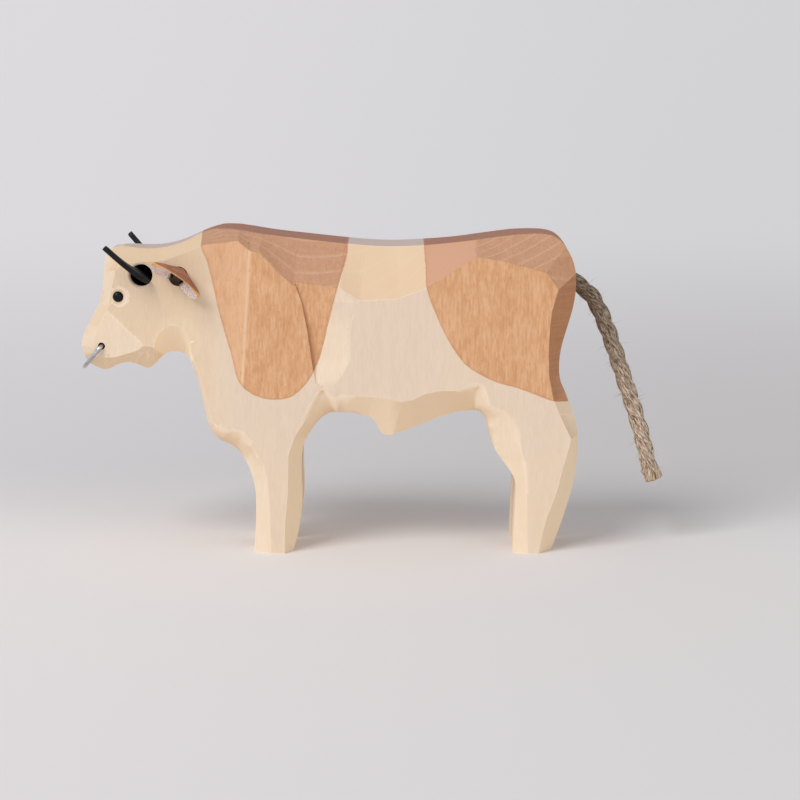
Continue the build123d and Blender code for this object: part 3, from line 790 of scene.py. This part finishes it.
# The ears. Each is a leaf of brown leather with its grain side out, rolled up at the root to
# fit its hole and opening to a shallow trough, so that the suede shows inside.
ear_hole = (-0.051279, -0.01939, 0.096113)
ear_leather = 0.0012
ear_root = 0.0056
ear_length = 0.0140
ear_turn = -35.0
ear_hump = 0.0027
ear_droop = 0.0009
ear_droop_start = 0.0045
ear_flares = (
    (0.0007, 0.0027), (0.0045, 0.0087), (0.0060, 0.0125), (0.0070, 0.0170), (0.0140, 0.0200),
)
ear_half_bends = (
    (0.0007, 142.0), (0.0016, 106.0), (0.0030, 86.0), (0.0045, 69.5), (0.0060, 47.4),
    (0.0070, 33.4), (0.0090, 28.6), (0.0105, 24.6), (0.0120, 18.0), (0.0129, 12.6),
    (0.0136, 7.5), (0.0140, 1.4),
)
ear_smoothing = 4
ear_tip_share = 0.25
ear_thinning = 3.5
ear_sweep_roundness = 0.7
ear_edge_steepness = 2.2
ear_edge_roundness = 0.5
ear_rings = 90
ear_sides = 44


def leather_leaf(side):
    """The rings of an ear, arc-shaped strips with round edges, and each point's skin side.

    At each distance from the head the leather is bent to a radius, which flares, and reaches
    to its half bend on each side of its top line, which droops a little. The ring walks along
    the outer skin, at 1, and back along the inner one, at -1. Right ears are mirrored.
    """
    out = np.linspace(-ear_root, ear_length, ear_rings)
    radius = np.interp(out, *np.transpose(ear_flares))
    half = np.radians(np.interp(out, *np.transpose(ear_half_bends)))
    for _ in range(ear_smoothing):
        for values in (radius, half):
            values[1:-1] = (values[:-2] + 2 * values[1:-1] + values[2:]) / 4
    round_trip = np.linspace(0, 2 * pi, ear_sides, endpoint=False)
    sweep = squared(np.cos(round_trip), ear_sweep_roundness)
    skin = squared(np.clip(ear_edge_steepness * np.sin(round_trip), -1, 1), ear_edge_roundness)
    to_tip = np.linspace(1, 0, ear_rings)
    thickness = ear_leather / 2 * np.clip(ear_thinning * to_tip, ear_tip_share, 1)
    skin_radius = radius[:, None] + thickness[:, None] * skin
    angle = half[:, None] * sweep
    drooped = np.clip((out - ear_droop_start) / (ear_length - ear_droop_start), 0, 1)
    top_line = ear_hump - ear_droop * drooped
    chord = np.array([cos(radians(ear_turn)), 0, sin(radians(ear_turn))])
    hump = np.array([-sin(radians(ear_turn)), 0, cos(radians(ear_turn))])
    points = (
        np.array(ear_hole)
        + (skin_radius * np.sin(angle))[..., None] * chord
        + ((top_line - radius)[:, None] + skin_radius * np.cos(angle))[..., None] * hump
        + out[:, None, None] * [0, -1, 0]
    )
    return points * [1, side, 1], np.tile(skin, ear_rings)


# The grain side is brown, the suede pale, and the cut rim orange towards the tip. Shade is
# painted dark deep in the roll and at the root. The spans are distances from the bull's middle.
ear_roll_shade_span = (0.0208, 0.0200)
ear_root_shade_span = (0.0205, 0.0195)
ear_rim_span = (0.0250, 0.0265)
ear_finish = Finish("brown_leather")
skin_side = ear_finish.attribute("skin_side")
from_middle = abs(ear_finish.place.parts()[1])
pebble = ear_finish.place.noise(2300, detail=3.0, roughness=0.6)
nap = ear_finish.place.noise(4200, roughness=0.8)
mottle = ear_finish.place.noise(330)
outer_tone = (pebble * 0.4 + mottle * 0.6).step(0.3, 0.7).between(
    tone(128, 76, 50), tone(176, 112, 76)
)
suede_tone = nap.step(0.43, 0.55).between(tone(186, 140, 122), tone(255, 246, 240))
# Painted shade: deep in the roll the suede is dark.
suede_tone = from_middle.step(*ear_roll_shade_span).between(suede_tone, tone(30, 22, 18))
ear_rim = skin_side.step(-0.9, -0.7) * from_middle.step(*ear_rim_span)
ear_tone = ear_rim.between(suede_tone, tone(226, 164, 88))
ear_tone = skin_side.step(0.55, 0.9).between(ear_tone, outer_tone)
# Painted shade: the leather at the root, in the hole, is dark.
ear_tone = from_middle.step(*ear_root_shade_span).between(ear_tone, tone(38, 28, 22))
ear_finish.set(
    Base_Color=ear_tone, Roughness=0.7, Normal=(pebble * 0.5 + nap * 0.5).bump(0.00008)
)
for side_name, side in sides.items():
    rings, skins = leather_leaf(side)
    mesh = tube_mesh(f"{side_name}_ear_leaf", rings[None])
    mark_points(mesh, skin_side=skins)
    ear = piece(mesh, "bull", ear_finish)
    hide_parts(f"{side_name}_ear")

# The eyes. Each is a black pin with a domed head, pressed into the wood in a shallow hollow.
# Its thin shank goes as deep as the solid pin's.
eye_dome = 0.0011
eye_rim = 0.0005
eye_neck = 0.0002
eye_neck_share = 0.50
eye_shank_share = 0.46
eye_pole = 1e-6
eye_dome_rings = 14
eye_sides = 48


def bead(radius, face, shank_end):
    """The rings of a left eye about the Y axis, from its face to the end of its shank.

    Their radii follow a quarter ellipse over the dome, stay level along the head's rim and
    step in to the neck and the shank.
    """
    rise = np.linspace(0, pi / 2, eye_dome_rings)
    under_head = face + eye_dome + eye_rim
    radii = np.append(
        radius * np.sin(rise) + eye_pole,
        radius * np.array([1, eye_neck_share, eye_shank_share, eye_shank_share]),
    )
    depths = np.append(
        face + eye_dome * (1 - np.cos(rise)),
        [under_head, under_head, under_head + eye_neck, shank_end],
    )
    angle = np.linspace(0, 2 * pi, eye_sides, endpoint=False)
    circle = np.stack([np.cos(angle), 0 * angle, np.sin(angle)], axis=1)
    return radii[:, None, None] * circle + depths[:, None, None] * [0, 1, 0]


eye_finish = Finish("black_enamel")
eye_haze = eye_finish.place.noise(900)
eye_finish.set(
    Base_Color=eye_haze.between(tone(2, 2, 3), tone(8, 8, 10)),
    Roughness=eye_haze * 0.2 + 0.25, Normal=eye_haze.bump(0.00002), Specular_IOR_Level=0.2,
)
for side_name, side in sides.items():
    low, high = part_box(f"{side_name}_eye_pin")
    centre = np.array([(low[0] + high[0]) / 2, 0, (low[2] + high[2]) / 2])
    face = min(low[1], -high[1])
    rings = centre + bead((high[0] - low[0]) / 2, face, face + high[1] - low[1]) * [1, side, 1]
    mesh = tube_mesh(f"{side_name}_eye_bead", rings[None])
    eye = piece(mesh, "bull", eye_finish)
    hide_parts(f"{side_name}_eye_pin")

# The nose ring. It is a bow of bright steel wire, whose two straight ends sit loosely in the
# hole across the snout, so it swings.
nose_hole = (-0.078204, 0.0, 0.071583)
wire_radius = 0.000725
snout_half_width = 0.01483
bow_side_gap = 0.0008
bow_reach = 0.0102
bow_corner = 0.0066
bow_bend = 0.0016
bow_end = 0.0060
bow_hang = 50.0
wire_stations = 260
wire_sides = 20
half_bow = snout_half_width + bow_side_gap + wire_radius


def arc(centre, radius, start, end, steps):
    """Points on an arc in the bow's plane, with its angles in degrees."""
    turn = np.radians(np.linspace(start, end, steps))
    return np.array(centre) + radius * np.stack([np.cos(turn), np.sin(turn)], axis=1)


# The bow is drawn across the snout and away from the hole: an end in the hole, a tight bend,
# the side, a wide corner, half of the front, and the same mirrored. Circles square to it
# make the wire.
half_line = np.concatenate([
    [(bow_end - snout_half_width, 0.0)],
    arc((bow_bend - half_bow, bow_bend), bow_bend, -90, -180, steps=10),
    arc((bow_corner - half_bow, bow_reach - bow_corner), bow_corner, 180, 90, steps=26),
])
bow_line = spaced(
    np.concatenate([half_line, half_line[::-1] * [-1, 1]]), np.linspace(0, 1, wire_stations)
)
away_from_hole = np.array([-cos(radians(bow_hang)), 0, -sin(radians(bow_hang))])
wire_line = nose_hole + bow_line[:, :1] * [0, 1, 0] + bow_line[:, 1:] * away_from_hole
wire_flat = np.cross(away_from_hole, [0.0, 1.0, 0.0])
wire_out = np.cross(unit(np.gradient(wire_line, axis=0)), wire_flat)
wire_angle = np.linspace(0, 2 * pi, wire_sides, endpoint=False)[:, None]
wire_rings = wire_line[:, None] + wire_radius * (
    np.cos(wire_angle) * wire_flat + np.sin(wire_angle) * wire_out[:, None]
)
wire_finish = Finish("steel_wire")
drawn = wire_finish.place.noise(1200)
wire_finish.set(
    Base_Color=drawn.between(tone(128, 129, 134), tone(208, 209, 214)), Metallic=1.0,
    Roughness=drawn * 0.12 + 0.10, Normal=drawn.bump(0.00001),
)
wire_mesh = tube_mesh("nose_ring_wire", wire_rings[None])
nose_ring = piece(wire_mesh, "nose_ring", wire_finish)
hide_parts("nose_ring")
